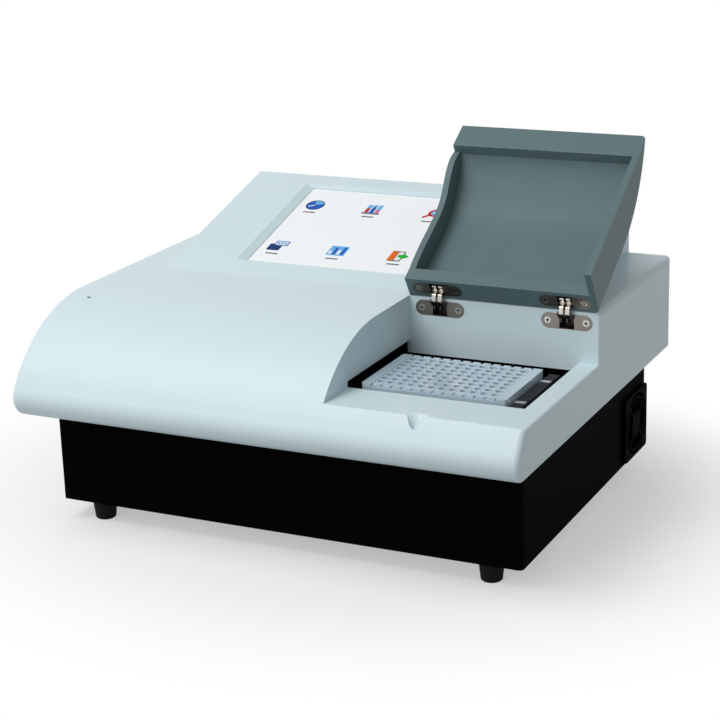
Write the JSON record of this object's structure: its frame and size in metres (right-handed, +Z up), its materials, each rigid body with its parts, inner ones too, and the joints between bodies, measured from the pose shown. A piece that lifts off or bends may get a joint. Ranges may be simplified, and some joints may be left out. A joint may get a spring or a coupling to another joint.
{
  "type": "microplate reader",
  "caption": "Bench-top absorbance reader: white casing with a sloped touch-screen console, hinged dark lid over a plate bay, sliding plate carrier and a filter-wheel optic.",
  "frame": {"origin": "on the bench under the middle of the casing: centre of the bounding box's base", "axes": "X to the right as the user faces the screen, Y to the back, Z up"},
  "size_m": [0.46, 0.382, 0.3168],
  "materials": {
    "casing_white": "pale blue-white semi-gloss moulding paint",
    "tray_black": "black powder coat",
    "foot_rubber": "moulded rubber",
    "screw_steel": "zinc plated steel",
    "socket_black": "moulded black plastic",
    "connector_shell": "nickel plated shell",
    "fan_black": "black guard",
    "lid_grey": "dark grey fine texture",
    "hinge_nickel": "satin nickel",
    "link_dark": "dark plated steel",
    "link_light": "satin plated steel",
    "plate_polystyrene": "translucent polystyrene",
    "strip_polystyrene": "translucent polystyrene",
    "carrier_black": "black anodised",
    "bush_bronze": "sintered bronze",
    "clip_steel": "spring steel",
    "rod_steel": "ground steel",
    "support_aluminium": "machined aluminium",
    "belt_rubber": "toothed rubber",
    "motor_steel": "black motor",
    "lamp_glass": "clear glass",
    "filter_glass": "interference glass",
    "fibre_sheath": "sheathed light guide",
    "screen": "touch screen",
    "board_green": "solder-masked board",
    "supply_steel": "galvanised case",
    "led_lens": "indicator lens"
  },
  "bodies": {
    "chassis": {"upper_casing": "casing_white", "base_tray": "tray_black", "feet": "foot_rubber", "foot_screws": "screw_steel", "casing_screws": "screw_steel", "rear_panel": "tray_black", "power_inlet": "socket_black", "power_switch_body": "socket_black", "usb_ports": "socket_black", "serial_port": "connector_shell", "fan_frame": "socket_black", "fan_guard": "fan_black", "fan_screws": "screw_steel", "wall_leaf_left": "hinge_nickel", "wall_leaf_right": "hinge_nickel", "wall_hinge_pins": "hinge_nickel", "wall_hinge_screws": "hinge_nickel", "optical_bench": "carrier_black", "bench_posts": "screw_steel", "guide_rods": "rod_steel", "rod_supports": "support_aluminium", "drive_belt": "belt_rubber", "belt_motor": "motor_steel", "idler_pin": "screw_steel", "optics_head": "carrier_black", "detector_block": "carrier_black", "detector_board": "board_green", "lamp_housing": "carrier_black", "halogen_lamp": "lamp_glass", "condenser_lens": "lamp_glass", "filter_motor": "motor_steel", "filter_bracket": "carrier_black", "light_guide": "fibre_sheath", "touch_panel": "screen", "lcd_module": "connector_shell", "display_bracket": "support_aluminium", "display_board": "board_green", "power_led": "led_lens", "main_board": "board_green", "board_standoffs": "screw_steel", "power_supply": "supply_steel"},
    "lid": {"lid_shell": "lid_grey", "lid_leaf_left": "hinge_nickel", "lid_leaf_right": "hinge_nickel", "lid_hinge_pins": "hinge_nickel", "lid_hinge_screws": "hinge_nickel"},
    "wall_link_set": {"wall_links": "link_dark"},
    "lid_link_set": {"lid_links": "link_light"},
    "carrier": {"plate_carrier": "carrier_black", "carrier_bushes": "bush_bronze", "plate_clips": "clip_steel"},
    "microplate": {"microplate_frame": "plate_polystyrene", "well_strips": "strip_polystyrene"},
    "motor_pulley": {"drive_pulley": "support_aluminium"},
    "return_pulley": {"idler_pulley": "support_aluminium"},
    "wheel": {"filter_wheel": "carrier_black", "filters": "filter_glass"},
    "rotor": {"fan_rotor": "socket_black"},
    "rocker": {"power_switch_rocker": "socket_black"}
  },
  "joints": [
    {"name": "lid_hinge", "type": "hinge", "parent": "chassis", "child": "lid", "pos_m": [0, -0.0073, 0.1925], "axis": [1, 0, 0], "range_deg": [0, 149]},
    {"name": "wall_links_turn", "type": "hinge", "parent": "chassis", "child": "wall_link_set", "pos_m": [0.1445, -0.0042, 0.187], "axis": [1, 0, 0], "range_deg": [0, 96.2]},
    {"name": "lid_links_turn", "type": "hinge", "parent": "lid", "child": "lid_link_set", "pos_m": [0.1445, -0.00747, 0.19881], "axis": [1, 0, 0], "range_deg": [-96.2, 0]},
    {"name": "carrier_slide", "type": "slide", "parent": "chassis", "child": "carrier", "axis": [-1, 0, 0], "range_m": [0, 0.165]},
    {"name": "plate_lift", "type": "slide", "parent": "carrier", "child": "microplate", "axis": [0, 0, 1], "range_m": [0, 0.029]},
    {"name": "motor_pulley_turn", "type": "hinge", "parent": "chassis", "child": "motor_pulley", "pos_m": [-0.15, -0.0115, 0.1235], "axis": [0, 0, -1], "range_deg": [0, 1182]},
    {"name": "return_pulley_turn", "type": "hinge", "parent": "chassis", "child": "return_pulley", "pos_m": [0.196, -0.0115, 0.1235], "axis": [0, 0, -1], "range_deg": [0, 1182]},
    {"name": "filter_wheel_spin", "type": "hinge", "parent": "chassis", "child": "wheel", "pos_m": [-0.1175, -0.11, 0.1415], "axis": [1, 0, 0], "continuous": true},
    {"name": "fan_spin", "type": "hinge", "parent": "chassis", "child": "rotor", "pos_m": [0.201, 0.13, 0.051], "axis": [1, 0, 0], "continuous": true},
    {"name": "rocker_tilt", "type": "hinge", "parent": "chassis", "child": "rocker", "pos_m": [-0.106, 0.164, 0.0595], "axis": [1, 0, 0], "range_deg": [0, 20]}
  ],
  "couplings": [
    {"joint": "wall_links_turn", "follows": "lid_hinge", "ratio": 0.64533},
    {"joint": "lid_links_turn", "follows": "lid_hinge", "ratio": -0.64533},
    {"joint": "motor_pulley_turn", "follows": "carrier_slide", "rad_per_m": 125},
    {"joint": "return_pulley_turn", "follows": "carrier_slide", "rad_per_m": 125}
  ]
}
